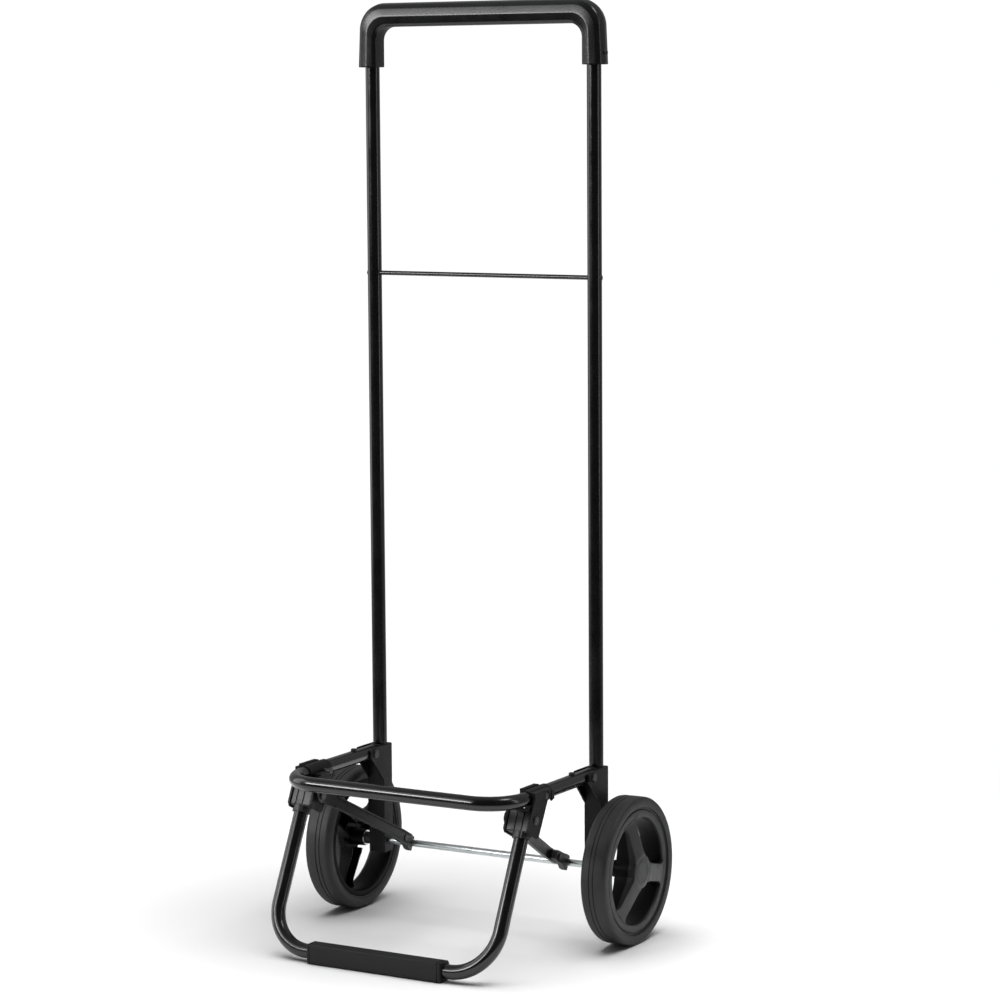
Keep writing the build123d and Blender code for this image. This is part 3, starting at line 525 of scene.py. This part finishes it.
def as_one(name, pieces):
    """Several surfaces made into one object."""
    shape = bmesh.new()
    for piece in pieces:
        shape.from_mesh(piece.data)
        bpy.data.objects.remove(piece)
    mesh = bpy.data.meshes.new(name)
    shape.to_mesh(mesh)
    shape.free()
    made = bpy.data.objects.new(name, mesh)
    scene.collection.objects.link(made)
    mesh.shade_smooth()
    mesh.set_sharp_from_angle(angle=radians(32))
    return made


wheel_plastic, shader = mottled("polypropylene_satin_dark_grey", "#1b1c1d", "#222324", 12.0, (0.38, 0.5),
                                0.7, 0.02)
shader.inputs["IOR"].default_value = 1.49
tree = wheel_plastic.node_tree
place = add(tree, "TexCoord")
across = add(tree, "SeparateXYZ", links={0: place.outputs["Object"]})
depth = add(tree, "Math", links={0: across.outputs["X"]}, operation="ABSOLUTE")
# Painted shade: deeper than the outer faces, the barrel and channels turn near black and reflect less.
painted_shade_mask = add(tree, "MapRange", {"From Min": SHADE_FADE_FROM_X * MM, "From Max": SHADE_FADE_TO_X * MM},
              {"Value": depth.outputs[0]})
tint = shader.inputs["Base Color"].links[0].from_socket
shaded = add(tree, "Mix", {6: srgb("#0a0a0a")}, {0: painted_shade_mask.outputs[0], 7: tint}, data_type="RGBA")
tree.links.new(shaded.outputs[2], shader.inputs["Base Color"])
shade_dimmed_specular = add(tree, "MapRange", {"To Min": 0.08, "To Max": 0.45}, {"Value": painted_shade_mask.outputs[0]})
tree.links.new(shade_dimmed_specular.outputs[0], shader.inputs["Specular IOR Level"])
for name, side, first_spoke in (("left", -1, 256.8), ("right", 1, -13.5)):
    parts = [turned("rim", [(side * x, r) for x, r in RIM_SECTION], RIM_STEPS),
             turned("hub", [(side * x, r) for x, r in HUB_SECTION], HUB_STEPS)]
    for i in range(3):
        angle = radians(first_spoke + 120 * i)
        parts.append(skin("spoke", [spoke_ring(reach, angle, side) for reach in SPOKE_STATIONS]))
    wheel = as_one("wheel_moulding_" + name, parts)
    fit_on(wheel, wheel_plastic, "wheel_" + name, "wheel_plastic", "wheel_rim_" + name, "hub_cap_" + name)

# --- Axle --------------------------------------------------------------------------------------
# An 8 mm drawn steel bar, bright zinc plated, with its washers and push nuts. Zinc is a pale, slightly
# blue metal; drawing leaves faint lines along it and handling leaves duller patches.
zinc, shader = mottled("zinc_plated_steel_bright", "#d3dadb", "#e6ebeb", 14.0, (0.26, 0.36), 0.8, 0.003)
shader.inputs["Metallic"].default_value = 1.0
for name in ("axle", "axle_washers", "axle_push_nuts"):
    finish(name, zinc)
spacer_nylon, shader = mottled("spacer_nylon_matt_black", "#202021", "#282829", 6.0, (0.5, 0.62), 0.5, 0.02)
shader.inputs["IOR"].default_value = 1.53
finish("axle_spacer_left", spacer_nylon)
finish("axle_spacer_right", spacer_nylon)

# --- Rivets, pins and screws -------------------------------------------------------------------
# Small headed steel parts, blackened and lightly oiled: satin black with worn, slightly lighter spots.
blackened, shader = mottled("blackened_steel_satin", "#141415", "#232324", 2.5, (0.28, 0.42), 0.35, 0.012)
shader.inputs["IOR"].default_value = 1.5
shader.inputs["Coat Weight"].default_value = 0.2
shader.inputs["Coat Roughness"].default_value = 0.2
for name in ("handle_screws", "leg_screws", "platform_hinge_pins", "bracket_rivets", "bracket_pins",
             "hook_rivet_left", "hook_rivet_right"):
    finish(name, blackened)

# --- Buffers -----------------------------------------------------------------------------------
# Soft rubber buttons pressed into the platform's side tubes.
rubber, shader = mottled("soft_rubber_matt_black", "#19191a", "#202021", 3.0, (0.68, 0.82), 0.4, 0.02)
shader.inputs["IOR"].default_value = 1.52
finish("platform_buffers", rubber)
